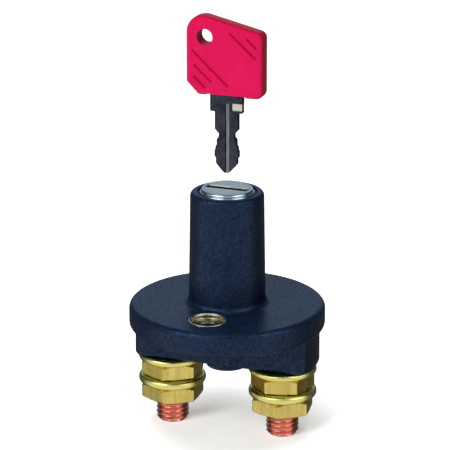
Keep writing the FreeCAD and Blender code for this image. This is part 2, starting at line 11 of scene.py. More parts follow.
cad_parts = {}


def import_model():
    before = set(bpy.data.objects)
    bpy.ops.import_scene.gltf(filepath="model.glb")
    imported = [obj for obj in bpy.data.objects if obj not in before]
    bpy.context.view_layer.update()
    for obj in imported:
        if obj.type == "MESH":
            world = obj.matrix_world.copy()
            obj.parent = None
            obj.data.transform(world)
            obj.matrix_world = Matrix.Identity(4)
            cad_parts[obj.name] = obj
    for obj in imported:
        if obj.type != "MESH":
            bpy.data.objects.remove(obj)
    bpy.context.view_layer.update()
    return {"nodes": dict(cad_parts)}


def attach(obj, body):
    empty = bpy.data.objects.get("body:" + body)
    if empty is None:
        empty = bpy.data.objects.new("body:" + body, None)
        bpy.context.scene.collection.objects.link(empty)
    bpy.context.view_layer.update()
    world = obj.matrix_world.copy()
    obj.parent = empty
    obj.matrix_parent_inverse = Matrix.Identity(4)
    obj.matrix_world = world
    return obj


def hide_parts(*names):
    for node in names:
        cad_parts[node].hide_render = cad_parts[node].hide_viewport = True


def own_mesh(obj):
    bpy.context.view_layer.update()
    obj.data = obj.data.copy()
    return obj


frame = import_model()

MM = 0.001
NODES = frame["nodes"]

# millimetres
SCREW_OFFSET = 17.5
TERMINAL_OFFSET = 18
BLOCK_BOTTOM = -10.7
STUD_END = -33.0
FACE = 44
KEY_TIP = 48.9
BLADE_LENGTH = 19.0


# ---------------------------------------------------------------- outlines

def rounded_path(points, step=9.0):
    """A closed loop of corners, (a, b) or (a, b, radius), as points with the radii drawn as arcs."""
    path = []
    for index, point in enumerate(points):
        at = Vector(point[:2])
        if len(point) < 3:
            path.append(at)
            continue
        back = (Vector(points[index - 1][:2]) - at).normalized()
        ahead = (Vector(points[(index + 1) % len(points)][:2]) - at).normalized()
        inside = back.angle(ahead)
        radius = point[2]
        centre = at + (back + ahead).normalized() * (radius / math.sin(inside / 2))
        start = at + back * (radius / math.tan(inside / 2)) - centre
        end = at + ahead * (radius / math.tan(inside / 2)) - centre
        turn = math.pi - inside
        if start.x * end.y - start.y * end.x < 0:
            turn = -turn
        count = max(2, math.ceil(math.degrees(abs(turn)) / step - 0.01))
        for k in range(count + 1):
            path.append(centre + Matrix.Rotation(turn * k / count, 2) @ start)
    return path


def signed_area(points):
    total = 0
    for index, point in enumerate(points):
        before = points[index - 1]
        total += before[0] * point[1] - before[1] * point[0]
    return total / 2


def grown(points, amount):
    """The same corners with every side moved outwards by amount."""
    side = 1 if signed_area(points) > 0 else -1
    moved = []
    for index, point in enumerate(points):
        at = Vector(point[:2])
        back = (at - Vector(points[index - 1][:2])).normalized()
        ahead = (Vector(points[(index + 1) % len(points)][:2]) - at).normalized()
        out_back = Vector((back.y, -back.x)) * side
        out_ahead = Vector((ahead.y, -ahead.x)) * side
        shift = (out_back + out_ahead) / (1 + out_back.dot(out_ahead))
        corner = at + shift * amount
        if len(point) < 3:
            moved.append((corner.x, corner.y))
            continue
        convex = (back.x * ahead.y - back.y * ahead.x) * side > 0
        radius = point[2] + (amount if convex else -amount)
        moved.append((corner.x, corner.y, max(radius, 0.02)))
    return moved


def fillet_steps(radius, low, high, top=True, count=5):
    """(growth, height) pairs up the wall of a slab whose lower and, usually, upper edges are rounded."""
    steps = []
    for k in range(count + 1):
        angle = math.radians(90 * k / count)
        steps.append((-radius * (1 - math.sin(angle)), low + radius * (1 - math.cos(angle))))
    if not top:
        return steps + [(0, high)]
    return steps + [(grow, high - (height - low)) for grow, height in reversed(steps)]


# ---------------------------------------------------------------- solids

def bridge_rings(bm, rings, closed=False):
    """Faces between neighbouring rings of vertices; a ring of one vertex is a pole."""
    pairs = list(zip(rings, rings[1:]))
    if closed:
        pairs.append((rings[-1], rings[0]))
    for one, two in pairs:
        count = max(len(one), len(two))
        if count == 1:
            continue
        for k in range(count):
            after = (k + 1) % count
            if len(one) == 1:
                bm.faces.new((one[0], two[after], two[k]))
            elif len(two) == 1:
                bm.faces.new((one[k], one[after], two[0]))
            else:
                bm.faces.new((one[k], one[after], two[after], two[k]))


def lathe(profile, segments=144, x=0.0, y=0.0, bm=None):
    """A closed loop of (radius, height) corners turned about a vertical axis."""
    bm = bm or bmesh.new()
    rings = []
    for radius, height in rounded_path(profile):
        if radius < 1e-6:
            rings.append([bm.verts.new((x, y, height))])
            continue
        rings.append([
            bm.verts.new((
                x + radius * math.cos(2 * math.pi * k / segments),
                y + radius * math.sin(2 * math.pi * k / segments),
                height,
            ))
            for k in range(segments)
        ])
    bridge_rings(bm, rings, closed=True)
    return bm


def slab(corners, steps, upright=False, bm=None):
    """An outline carried through (growth, height) steps; an upright one lies in XZ and runs along Y."""
    bm = bm or bmesh.new()
    rings = []
    for growth, height in steps:
        outline = rounded_path(grown(corners, growth))
        if upright:
            rings.append([bm.verts.new((p.x, height, p.y)) for p in outline])
        else:
            rings.append([bm.verts.new((p.x, p.y, height)) for p in outline])
    bridge_rings(bm, rings)
    bm.faces.new(rings[0])
    bm.faces.new(rings[-1])
    return bm


def block(x_range, y_range, z_range):
    """A plain rectangular cutter."""
    corners = [
        (x_range[0], y_range[0]), (x_range[1], y_range[0]),
        (x_range[1], y_range[1]), (x_range[0], y_range[1]),
    ]
    return slab(corners, [(0, z_range[0]), (0, z_range[1])])


def centred(half_x, half_y, low, high):
    return block((-half_x, half_x), (-half_y, half_y), (low, high))


def moved(bm, matrix):
    bmesh.ops.transform(bm, matrix=matrix, verts=bm.verts)
    return bm


def temporary(bm, name):
    bmesh.ops.remove_doubles(bm, verts=bm.verts, dist=1e-4)
    bmesh.ops.recalc_face_normals(bm, faces=bm.faces)
    mesh = bpy.data.meshes.new(name)
    bm.to_mesh(mesh)
    bm.free()
    thing = bpy.data.objects.new(name, mesh)
    bpy.context.scene.collection.objects.link(thing)
    return thing


def combine(bm, tools, operation="DIFFERENCE"):
    """An exact boolean of solids; the tools are used up."""
    host = temporary(bm, "host")
    helpers = [temporary(tool, "tool") for tool in tools]
    for helper in helpers:
        step = host.modifiers.new("step", "BOOLEAN")
        step.operation = operation
        step.solver = "EXACT"
        step.object = helper
    graph = bpy.context.evaluated_depsgraph_get()
    result = bmesh.new()
    made = bpy.data.meshes.new_from_object(host.evaluated_get(graph))
    result.from_mesh(made)
    bpy.data.meshes.remove(made)
    for thing in [host] + helpers:
        mesh = thing.data
        bpy.data.objects.remove(thing)
        bpy.data.meshes.remove(mesh)
    return result


SHARP_ANGLE = math.radians(33)


def piece(name, bm, body, material):
    """Finishes a solid as a piece that rides on a body and stands for the CAD node of its name."""
    bmesh.ops.remove_doubles(bm, verts=bm.verts, dist=1e-4)
    bmesh.ops.recalc_face_normals(bm, faces=bm.faces)
    moved(bm, Matrix.Scale(MM, 4))
    mesh = bpy.data.meshes.new(name)
    bm.to_mesh(mesh)
    bm.free()
    mesh.shade_smooth()
    mesh.set_sharp_from_angle(angle=SHARP_ANGLE)
    mesh.materials.append(material)
    thing = bpy.data.objects.new(name, mesh)
    bpy.context.scene.collection.objects.link(thing)
    normals = thing.modifiers.new("normals", "WEIGHTED_NORMAL")
    normals.keep_sharp = True
    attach(thing, body)
    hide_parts(name.removesuffix("_visual"))
    return thing


# ---------------------------------------------------------------- materials

class Nodes:
    """Short calls that add nodes to a tree and link them; a value is a number, a colour or a socket."""

    def __init__(self, owner, coordinates):
        owner.use_nodes = True
        self.tree = owner.node_tree
        self.place = self.tree.nodes.new("ShaderNodeTexCoord").outputs[coordinates]

    def node(self, kind, **settings):
        made = self.tree.nodes.new("ShaderNode" + kind)
        for key, value in settings.items():
            setattr(made, key, value)
        return made

    def feed(self, socket, value):
        if isinstance(value, bpy.types.NodeSocket):
            self.tree.links.new(value, socket)
        else:
            socket.default_value = value

    def math(self, operation, *values, clamp=False):
        made = self.node("Math", operation=operation, use_clamp=clamp)
        for index, value in enumerate(values):
            self.feed(made.inputs[index], value)
        return made.outputs[0]

    def product(self, *values):
        total = values[0]
        for value in values[1:]:
            total = self.math("MULTIPLY", total, value)
        return total

    def remap(self, value, low, high, to_low=0.0, to_high=1.0):
        made = self.node("MapRange")
        for name, number in (("Value", value), ("From Min", low), ("From Max", high),
                             ("To Min", to_low), ("To Max", to_high)):
            self.feed(made.inputs[name], number)
        return made.outputs["Result"]

    def blend(self, amount, one, two):
        made = self.node("Mix", data_type="RGBA")
        self.feed(made.inputs["Factor"], amount)
        for socket, colour in ((made.inputs[6], one), (made.inputs[7], two)):
            self.feed(socket, (*colour, 1) if isinstance(colour, tuple) else colour)
        return made.outputs[2]

    def axis(self, name):
        made = self.node("SeparateXYZ")
        self.feed(made.inputs[0], self.place)
        return made.outputs[name]

    def towards(self, direction):
        """The cosine between the coordinates, as a direction, and another direction."""
        made = self.node("VectorMath", operation="DOT_PRODUCT")
        self.feed(made.inputs[0], self.place)
        made.inputs[1].default_value = direction
        return made.outputs["Value"]


class Surface(Nodes):
    """A Principled material and its procedural colour, roughness and bump, in object coordinates."""

    def __init__(self, name, metallic=0.0, roughness=0.4, **extra):
        self.material = bpy.data.materials.new(name)
        super().__init__(self.material, "Object")
        self.shader = self.tree.nodes["Principled BSDF"]
        self.shader.inputs["Metallic"].default_value = metallic
        self.shader.inputs["Roughness"].default_value = roughness
        for key, value in extra.items():
            self.shader.inputs[key.replace("_", " ")].default_value = value
        self.height = None
        self.tone = None

    def stretched(self, factors):
        made = self.node("VectorMath", operation="MULTIPLY")
        self.feed(made.inputs[0], self.place)
        made.inputs[1].default_value = factors
        return made.outputs[0]

    def noise(self, scale, detail=3.0, roughness=0.5, stretch=None):
        made = self.node("TexNoise")
        self.feed(made.inputs["Vector"], self.stretched(stretch) if stretch else self.place)
        made.inputs["Scale"].default_value = scale
        made.inputs["Detail"].default_value = detail
        made.inputs["Roughness"].default_value = roughness
        return made.outputs["Fac"]

    def spots(self, scale):
        made = self.node("TexVoronoi")
        self.feed(made.inputs["Vector"], self.place)
        made.inputs["Scale"].default_value = scale
        return made.outputs["Distance"]

    def within(self, axis, low, high, soft=0.03):
        """1 between two places in millimetres along an axis, falling off over a soft edge."""
        value = self.axis(axis)
        above = self.remap(value, (low - soft) * MM, (low + soft) * MM)
        below = self.remap(value, (high + soft) * MM, (high - soft) * MM)
        return self.product(above, below)

    def colour(self, value):
        self.feed(self.shader.inputs["Base Color"], value)

    def rough(self, value):
        self.feed(self.shader.inputs["Roughness"], value)

    def bump(self, height, depth):
        """Adds a height in millimetres; several calls build on one another."""
        made = self.node("Bump")
        made.inputs["Strength"].default_value = 1.0
        made.inputs["Distance"].default_value = depth * MM
        self.feed(made.inputs["Height"], height)
        if self.height is not None:
            self.feed(made.inputs["Normal"], self.height)
        self.height = made.outputs["Normal"]
        self.feed(self.shader.inputs["Normal"], self.height)


def moulded(name, dark, light, roughness, grain, speck=0.0, shine=None, **extra):
    """Moulded plastic: mottled colour, a fine pebbled grain, and a scatter of pale filler specks."""
    surface = Surface(name, roughness=roughness, **extra)
    cloud = surface.noise(110, detail=4, roughness=0.6)
    mottle = surface.noise(900, detail=4, roughness=0.7)
    blotch = surface.math("ADD", surface.product(cloud, 0.45), surface.product(mottle, 0.55))
    tone = surface.remap(blotch, 0.36, 0.64)
    colour = surface.blend(tone, dark, light)
    if speck:
        pale = tuple(min(1.0, channel * 3.6 + 0.012) for channel in light)
        dots = surface.remap(surface.spots(2100), 0.30, 0.12)
        scarce = surface.remap(surface.noise(420, detail=2), 0.44, 0.66)
        colour = surface.blend(surface.product(dots, scarce, speck), colour, pale)
    surface.colour(colour)
    if shine:
        glint = surface.remap(surface.noise(1100, detail=5, roughness=0.75), 0.36, 0.64, *shine)
        surface.feed(surface.shader.inputs["Specular IOR Level"], glint)
    polish = surface.noise(1300, detail=3)
    surface.rough(surface.remap(polish, 0.3, 0.7, roughness - 0.12, roughness + 0.12))
    surface.bump(surface.noise(2400, detail=2), grain)
    surface.bump(surface.noise(800, detail=3), grain * 1.8)
    return surface


def metal(name, clean, tarnished, roughness, wear=0.5, lines=None, line_depth=0.004, pits=0.0):
    """Bare metal: patches of tarnish, uneven polish, and fine tool lines along one direction."""
    surface = Surface(name, metallic=1.0, roughness=roughness)
    patch = surface.remap(surface.noise(260, detail=6, roughness=0.65), 0.42, 0.72)
    fleck = surface.remap(surface.noise(1500, detail=3), 0.5, 0.8)
    stain = surface.product(surface.math("ADD", patch, fleck, clamp=True), wear)
    surface.tone = surface.blend(stain, clean, tarnished)
    surface.colour(surface.tone)
    polish = surface.remap(surface.noise(900, detail=4), 0.3, 0.7, roughness - 0.06, roughness + 0.06)
    surface.rough(surface.math("ADD", polish, surface.product(stain, 0.12)))
    if lines:
        surface.bump(surface.noise(1, detail=3, stretch=lines), line_depth)
    if pits:
        surface.bump(surface.noise(2200, detail=2), pits)
    return surface


def key_plastic():
    """Crimson plastic, with painted shade round the rim: a purer and deeper red there than on the two
    faces.
    """
    surface = moulded("key_plastic", (0.42, 0.0024, 0.047), (0.52, 0.005, 0.064), 0.36, 0.008,
                      Specular_IOR_Level=0.5, Specular_Tint=(1.0, 0.10, 0.34, 1.0))
    face = surface.shader.inputs["Base Color"].links[0].from_socket
    # painted shade: the thin rim between the two faces is coloured a darker, purer red
    painted_rim = surface.within("Y", -2.2, 2.2, soft=0.2)
    surface.colour(surface.blend(painted_rim, face, (0.28, 0.002, 0.010)))
    return surface


def key_steel():
    """Blackened steel with a bright groove floor and a bright milled step beside the shoulder."""
    surface = metal("key_steel", (0.060, 0.064, 0.088), (0.018, 0.020, 0.030), 0.36, wear=0.8,
                    lines=(1200, 1200, 160))
    shoulder = KEY_TIP + BLADE_LENGTH
    sunk = surface.within("Y", -0.8, 0.8)
    along = surface.within("Z", KEY_TIP - 1, shoulder + 2.6)
    groove = surface.product(surface.within("X", -0.1, 0.85), along)
    beside = surface.within("Z", shoulder + 0.6, shoulder + 2.8)
    step = surface.product(surface.within("X", 1.8, 4.9), beside)
    streak = surface.remap(surface.noise(1, detail=3, stretch=(2500, 2500, 260)), 0.3, 0.7, 0.45, 1.0)
    surface.tone = surface.blend(surface.product(groove, sunk, streak), surface.tone, (0.33, 0.35, 0.39))
    surface.tone = surface.blend(surface.product(step, sunk), surface.tone, (0.74, 0.76, 0.66))
    surface.colour(surface.tone)
    return surface


def plug_face():
    """Dull plate on the face of the plug, rubbed bright round the keyway, with painted shade inside the
    keyway.
    """
    surface = metal("plug_face", (0.90, 0.83, 0.69), (0.62, 0.60, 0.52), 0.27, wear=0.45, pits=0.003)
    lengthwise = surface.within("X", -2.6, 2.6, soft=1.6)
    worn = surface.product(lengthwise, surface.within("Y", -2.0, 2.0, soft=1.2))
    surface.tone = surface.blend(surface.product(worn, 0.85), surface.tone, (0.98, 0.96, 0.90))
    # painted shade: the recess and the keyway are coloured near black
    keyway_shade = surface.product(surface.within("Y", -1.22, 1.22), surface.within("Z", 20, 43.86))
    surface.tone = surface.blend(keyway_shade, surface.tone, (0.10, 0.12, 0.14))
    surface.colour(surface.tone)
    return surface


def bush_brass():
    """Brass for a bush, brown and blotched inside, with a painted highlight in pale cream on its outer
    rim.
    """
    surface = metal("bush_brass", (0.42, 0.35, 0.23), (0.07, 0.05, 0.04), 0.24, wear=1.0,
                    lines=(1400, 1400, 90), line_depth=0.008)
    across = surface.axis("X")
    along = surface.math("SUBTRACT", surface.math("ABSOLUTE", surface.axis("Y")), SCREW_OFFSET * MM)
    squared = surface.math("ADD", surface.product(across, across), surface.product(along, along))
    # painted highlight: the outer rim of the bush is coloured pale cream
    painted_rim = surface.remap(surface.math("SQRT", squared), 4.95 * MM, 5.2 * MM)
    surface.tone = surface.blend(painted_rim, surface.tone, (1.0, 0.92, 0.66))
    surface.colour(surface.tone)
    return surface


def streaked_brass():
    """Nut brass, drawn in pale and dark streaks along its length; the dark streaks are painted
    reflections on the flats.
    """
    surface = metal("nut_brass", (0.86, 0.74, 0.22), (0.54, 0.38, 0.09), 0.27, wear=0.4,
                    lines=(900, 900, 60), line_depth=0.003)
    # painted reflection: dark streaks run along the nut, standing for the streaked reflections on its
    # flats
    streak = surface.remap(surface.noise(1, detail=4, roughness=0.6, stretch=(420, 420, 45)), 0.40, 0.66)
    surface.tone = surface.blend(surface.product(streak, 0.6), surface.tone, (0.52, 0.38, 0.09))
    surface.colour(surface.tone)
    return surface


HOUSING = moulded(
    "housing_plastic", (0.0009, 0.0029, 0.0082), (0.0038, 0.0094, 0.0250), 0.36, 0.014, speck=0.8,
    shine=(0.20, 0.80), Specular_Tint=(0.30, 0.52, 1.0, 1.0),
).material
INNER = moulded("inner_nylon", (0.022, 0.022, 0.025), (0.040, 0.040, 0.045), 0.48, 0.006).material
RUBBER = moulded("seal_rubber", (0.010, 0.010, 0.011), (0.020, 0.020, 0.021), 0.62, 0.004).material
KEY_RED = key_plastic().material
CHROME = metal("chrome_plate", (0.70, 0.79, 0.84), (0.50, 0.58, 0.64), 0.10, wear=0.2).material
PLUG = plug_face().material
BRASS = metal("brass", (0.93, 0.85, 0.29), (0.66, 0.54, 0.15), 0.27, wear=0.3).material
NUT = streaked_brass().material
BUSH = bush_brass().material
COPPER = metal(
    "stud_copper", (0.95, 0.43, 0.33), (0.46, 0.10, 0.06), 0.22, wear=0.6, pits=0.003,
).material
SILVER = metal(
    "silver_contact", (0.86, 0.86, 0.83), (0.52, 0.50, 0.46), 0.30, wear=0.4, pits=0.003,
).material
SPRING = metal("spring_wire", (0.50, 0.50, 0.51), (0.28, 0.27, 0.26), 0.28, wear=0.4).material
WAFER = metal(
    "wafer_brass", (0.72, 0.58, 0.26), (0.42, 0.29, 0.10), 0.32, wear=0.4, lines=(160, 900, 900),
).material
KEY_STEEL = key_steel().material

KEPT = {
    "barrel_nut": WAFER, "plug_circlip": SPRING, "wafer_springs": SPRING, "drive_rotor": INNER,
    "rotor_seal": RUBBER, "bridge_carrier": INNER, "contact_bridge": COPPER, "contact_spring": SPRING,
    "fixed_contact_left": SILVER, "fixed_contact_right": SILVER,
    "bridge_contact_left": SILVER, "bridge_contact_right": SILVER,
}
KEPT.update({"wafer_%d" % index: WAFER for index in range(1, 7)})
for node, finish in KEPT.items():
    NODES[node].data.materials.clear()
    NODES[node].data.materials.append(finish)


# ---------------------------------------------------------------- housing

def block_corners():
    """The terminal block's outline: two flat sides and two arcs of 28.5 mm."""
    half, radius = 8.5, 28.5
    reach = math.sqrt(radius * radius - half * half)
    arc = [math.radians(angle) for angle in range(-11, 12, 2)]
    corners = [(reach, -half, 3.2)]
    corners += [(radius * math.cos(a), radius * math.sin(a)) for a in arc]
    corners += [(reach, half, 3.2), (-reach, half, 3.2)]
    corners += [(-radius * math.cos(a), -radius * math.sin(a)) for a in arc]
    corners += [(-reach, -half, 3.2)]
    return corners


def top_housing():
    body = lathe([
        (9.9, 0), (29.99, 0, 2.0), (29.99, 7.7, 1.8), (11.75, 7.7, 1.9), (11.2, 43, 1.3),
        (9.0, 43, 0.3), (9.0, 41.7), (7.65, 41.7), (7.65, 33.8), (9.9, 33.8),
    ], segments=192)
    bush_hole = [(0, -1), (5.9, -1), (5.9, 7.3), (6.2, 7.7), (6.2, 8.5), (0, 8.5)]
    tools = [lathe(bush_hole, 96, 0, side * SCREW_OFFSET) for side in (-1, 1)]
    tools.append(centred(25.2, 6.8, -1, 3.6))
    tools.append(slab(grown(block_corners(), 0.3), [(0, -1), (0, 0.6)]))
    tools.append(block((-1.1, 1.1), (7, 8.65), (32.8, 41.7)))
    piece("top_housing_visual", combine(body, tools), "housing", HOUSING)


def base_housing():
    low = BLOCK_BOTTOM
    body = slab(block_corners(), fillet_steps(1.3, low, 0.6, top=False))
    boss = lathe([(0, -13), (6.5, -13, 0.8), (6.5, low + 1), (0, low + 1)], 96)
    spigot = lathe([(0, 0), (9.85, 0), (9.85, 3.4, 0.2), (0, 3.4)], 128)
    body = combine(body, [boss, spigot], "UNION")
    tools = [centred(25.2, 6.8, low + 2, 5)]
    tools.append(lathe([(0, -12), (4, -12), (4, low + 3), (0, low + 3)], 64))
    tools += [
        lathe([(0, low - 1), (5.05, low - 1), (5.05, low + 3), (0, low + 3)], 64, side * TERMINAL_OFFSET)
        for side in (-1, 1)
    ]
    piece("base_housing_visual", combine(body, tools), "housing", HOUSING)


def mounting_bush(name, side):
    body = lathe([
        (3.2, 0, 0.2), (5.9, 0), (5.9, 7.7, 0.22), (5.5, 7.7, 0.12), (5.1, 7.3, 0.15),
        (5.1, 6.1, 0.3), (4.0, 6.1, 0.1), (3.2, 5.3, 0.1),
    ], 96, 0, side * SCREW_OFFSET)
    piece(name + "_visual", body, "housing", BUSH)


def return_spring():
    """Five turns of wire between the boss's floor and the bridge, which squeezes them going down; here
    the coil keeps its shape and rides on the bridge.
    """
    low, high, travel = -11.98, -1.62, 2.48
    wire, radius, turns, steps = 0.4, 3.2, 5, 36
    rise = (high - low - 2 * wire) / (turns * steps)
    bm = bmesh.new()
    rings = []
    for step in range(turns * steps + 1):
        turn = 2 * math.pi * step / steps
        ring = []
        for angle in (2 * math.pi * k / 12 for k in range(12)):
            reach = radius + wire * math.cos(angle)
            height = low + wire + rise * step + wire * math.sin(angle)
            ring.append(bm.verts.new((reach * math.cos(turn), reach * math.sin(turn), height)))
        rings.append(ring)
    bridge_rings(bm, rings)
    bm.faces.new(rings[0])
    bm.faces.new(rings[-1])
    coil = piece("return_spring_visual", bm, "bridge", SPRING)
    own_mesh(coil)


# ---------------------------------------------------------------- lock

def lock_barrel():
    body = lathe([
        (5.85, 22), (7.6, 22, 0.3), (7.6, 42.5), (8.4, 42.5, 0.12), (8.4, 43.12, 0.42),
        (7.74, 43.12, 0.08), (7.74, 43.34, 0.06), (7.95, 43.4, 0.05), (7.95, FACE, 0.54),
        (7.05, FACE, 0.04), (7.05, 42.15),
        (5.85, 42.15), (5.85, 41), (6.5, 41), (6.5, 25), (5.85, 25),
    ])
    lug = block((-1, 1), (7.0, 8.55), (38.7, 41.7))
    piece("lock_barrel_visual", combine(body, [lug], "UNION"), "housing", CHROME)


def lock_seal():
    body = lathe([(7.62, 41.7), (8.95, 41.7, 0.1), (8.95, 42.5, 0.25), (7.62, 42.5)])
    piece("lock_seal_visual", body, "housing", RUBBER)


def lock_plug():
    body = lathe([
        (0, 20.8), (5.8, 20.8), (5.8, 21), (5, 21), (5, 21.8), (5.8, 21.8), (5.8, 42.2), (7, 42.2),
        (7, FACE, 0.12), (0, FACE),
    ])
    body = combine(body, [centred(3.5, 1.5, 17.5, 20.9)], "UNION")
    recess = [(-6.35, -1.2, 0.5), (6.35, -1.2, 0.5), (6.35, 1.2, 0.5), (-6.35, 1.2, 0.5)]
    keyway = [(-4.25, -1.15), (4.25, -1.15), (4.25, 1.15), (-4.25, 1.15)]
    tools = [
        slab(recess, [(0, 42.5), (0, 43.7), (0.3, 44.01), (0.3, 44.5)]),
        slab(keyway, [(0, 23.1), (0, 43.0)]),
    ]
    for index in range(6):
        low = 26.5 + 2.6 * index - 0.1
        high = low + 1.1
        side = 1 if index % 2 == 0 else -1
        tools.append(centred(7, 3.05, low, high))
        ear_x = sorted((-2.5 * side, 3.4 * side))
        ear_y = sorted((2.9 * side, 4.45 * side))
        tools.append(block(ear_x, ear_y, (low, high)))
    piece("lock_plug_visual", combine(body, tools), "rotor", PLUG)


# ---------------------------------------------------------------- terminals

THREAD = [
    (0.0, 0.0), (0.125, 0.0), (0.28, 0.5), (0.4375, 1.0), (0.5625, 1.08), (0.6875, 1.0), (0.84, 0.5),
]


def thread_depth(turns):
    """Depth below the crest, as a share of the flank depth, at a place in the pitch."""
    turns %= 1.0
    table = THREAD + [(1.0, 0.0)]
    for (start, one), (end, two) in zip(table, table[1:]):
        if turns <= end:
            return one + (two - one) * (turns - start) / (end - start)
    return 0.0


def terminal_stud(name, side):
    """A square-headed stud with a right-hand thread of 1.5 mm pitch and a chamfered end."""
    low, high, centre = STUD_END, -11.2, side * TERMINAL_OFFSET
    pitch, crest, depth, columns = 1.5, 5.0, 0.80, 96
    rows = []
    for turn in range(-2, int((high - low) / pitch) + 2):
        for index, (start, _) in enumerate(THREAD):
            end = THREAD[index + 1][0] if index + 1 < len(THREAD) else 1.0
            rows += [turn + start, turn + (start + end) / 2]
    per_turn = 2 * len(THREAD)

    def point(row, column):
        angle = column / columns
        height = min(max(low + (rows[row] + angle) * pitch, low), high)
        radius = crest - depth * thread_depth((height - low) / pitch - angle)
        radius = min(radius, crest - 1.1 + (height - low))
        return (
            centre + radius * math.cos(2 * math.pi * angle),
            radius * math.sin(2 * math.pi * angle),
            height,
        )

    bm = bmesh.new()
    grid = [
        [bm.verts.new(point(row, column)) for column in range(columns)]
        for row in range(len(rows))
    ]
    for row in range(len(rows) - 1):
        for column in range(columns):
            if column < columns - 1:
                right, right_up = grid[row][column + 1], grid[row + 1][column + 1]
            elif row + 1 + per_turn < len(rows):
                right, right_up = grid[row + per_turn][0], grid[row + 1 + per_turn][0]
            else:
                right, right_up = grid[-1][0], grid[-1][0]
                if grid[row][column].co.z >= high - 1e-6:
                    continue
            corners = []
            for vert in (grid[row][column], right, right_up, grid[row + 1][column]):
                if vert not in corners:
                    corners.append(vert)
            if len(corners) > 2:
                bm.faces.new(corners)
    bmesh.ops.remove_doubles(bm, verts=bm.verts, dist=1e-4)
    loops = [edge for edge in bm.edges if edge.is_boundary]
    bmesh.ops.holes_fill(bm, edges=loops, sides=0)
    lathe([(0, high - 0.6), (4.95, high - 0.1, 0.05), (4.95, -8.2), (0, -8.2)], columns, centre, 0, bm)
    head = [(sx * 6.6 + centre, sy * 6.6, 0.5) for sx, sy in ((-1, -1), (1, -1), (1, 1), (-1, 1))]
    slab(head, fillet_steps(0.3, -8.7, -5.7, count=3), bm=bm)
    piece(name + "_visual", bm, "housing", COPPER)


def washer(name, side, high, thick):
    low = high - thick
    edge = 0.4 * thick
    section = [(5.25, low, 0.12), (10.4, low, edge), (10.4, high, edge), (5.25, high, 0.12)]
    body = lathe(section, 128, side * TERMINAL_OFFSET)
    piece(name + "_visual", body, "housing", BRASS)


def thin_nut(name, side, high, degrees):
    """A hexagon nut whose corners are cut back by a shallow cone on its upper face."""
    low = high - 5.0
    apothem, bore, flat = 8.5, 5.02, 8.0
    corner = apothem / math.cos(math.pi / 6)
    hexagon = [
        (corner * math.cos(math.pi * k / 3), corner * math.sin(math.pi * k / 3), 0.35)
        for k in range(6)
    ]
    rounded = rounded_path(hexagon, step=12)
    outline = []
    for index, point in enumerate(rounded):
        after = rounded[(index + 1) % len(rounded)]
        count = 10 if (after - point).length > 3 else 1
        outline += [point.lerp(after, k / count) for k in range(count)]

    def ring(bm, wanted):
        verts = []
        for p in outline:
            radius, height = wanted(p.length)
            spot = p.normalized() * radius
            spot.rotate(Matrix.Rotation(math.radians(degrees), 2))
            verts.append(bm.verts.new((side * TERMINAL_OFFSET + spot.x, spot.y, height)))
        return verts

    def cone(radius):
        return (radius - flat) * math.tan(math.radians(30))

    bm = bmesh.new()
    bridge_rings(bm, [
        ring(bm, lambda r: (bore, low + 0.55)),
        ring(bm, lambda r: (bore + 0.5, low)),
        ring(bm, lambda r: (flat + 0.05, low)),
        ring(bm, lambda r: (r - 0.22, low + 0.35 * cone(r) + 0.02)),
        ring(bm, lambda r: (r - 0.05, low + 0.55 * cone(r) + 0.08)),
        ring(bm, lambda r: (r, low + 0.6 * cone(r) + 0.25)),
        ring(bm, lambda r: (r, high - cone(r) - 0.12)),
        ring(bm, lambda r: (r - 0.02, high - cone(r) - 0.02)),
        ring(bm, lambda r: (r - 0.12, high - cone(r) + 0.05)),
        ring(bm, lambda r: (flat + 0.1, high - 0.03)),
        ring(bm, lambda r: (flat - 0.1, high)),
        ring(bm, lambda r: (bore + 0.5, high)),
        ring(bm, lambda r: (bore, high - 0.55)),
    ], closed=True)
    piece(name + "_visual", bm, "housing", NUT)


# ---------------------------------------------------------------- key

BITTING = [
    (0.7, 0.0), (2.4, 1.8), (3.3, 2.9), (3.3, 4.5), (3.75, 5.1), (3.75, 6.9), (3.45, 7.4), (3.45, 8.2),
    (3.05, 8.7), (3.05, 10.4), (2.4, 11.2), (2.4, 12.3), (3.65, 13.6),
]


def key_blade():
    shoulder = KEY_TIP + BLADE_LENGTH
    root = shoulder + 5.6
    right = [(width, KEY_TIP + rise, 0.1) for width, rise in BITTING]
    right += [(3.65, shoulder, 0.1), (5.15, shoulder, 0.25), (5.15, root)]
    right += [(4.0, root), (4.0, root + 6.0)]
    left = [(-corner[0], *corner[1:]) for corner in reversed(right)]
    body = slab(right + left, fillet_steps(0.12, -1.0, 1.0, count=3), upright=True)
    tools = []
    for side in (-1, 1):
        depth = sorted((side * 0.6, side * 2))
        tools.append(block((-0.35, 1.0), depth, (KEY_TIP - 1, shoulder + 2.7)))
        tools.append(block((1.7, 6.15), depth, (shoulder + 0.5, shoulder + 2.9)))
    piece("key_blade_visual", combine(body, tools), "key", KEY_STEEL)


GRIP_GROOVES = [
    ((-10.0, 13.5), (0.8, 3.6)), ((-9.4, 9.0), (-4.5, 4.6)), ((-9.5, 5.5), (-6.3, 2.6)),
    ((1.8, 19.6), (9.6, 12.7)), ((7.2, 18.3), (9.9, 15.8)),
]


def capsule(start, end, radius):
    """A round-ended rod between two points."""
    run = end - start
    tip, curve = run.length + radius, radius * 0.98
    rod = lathe([(0, -radius), (radius, -radius, curve), (radius, tip, curve), (0, tip)], 24)
    turn = Vector((0, 0, 1)).rotation_difference(run).to_matrix().to_4x4()
    return moved(rod, Matrix.Translation(start) @ turn)


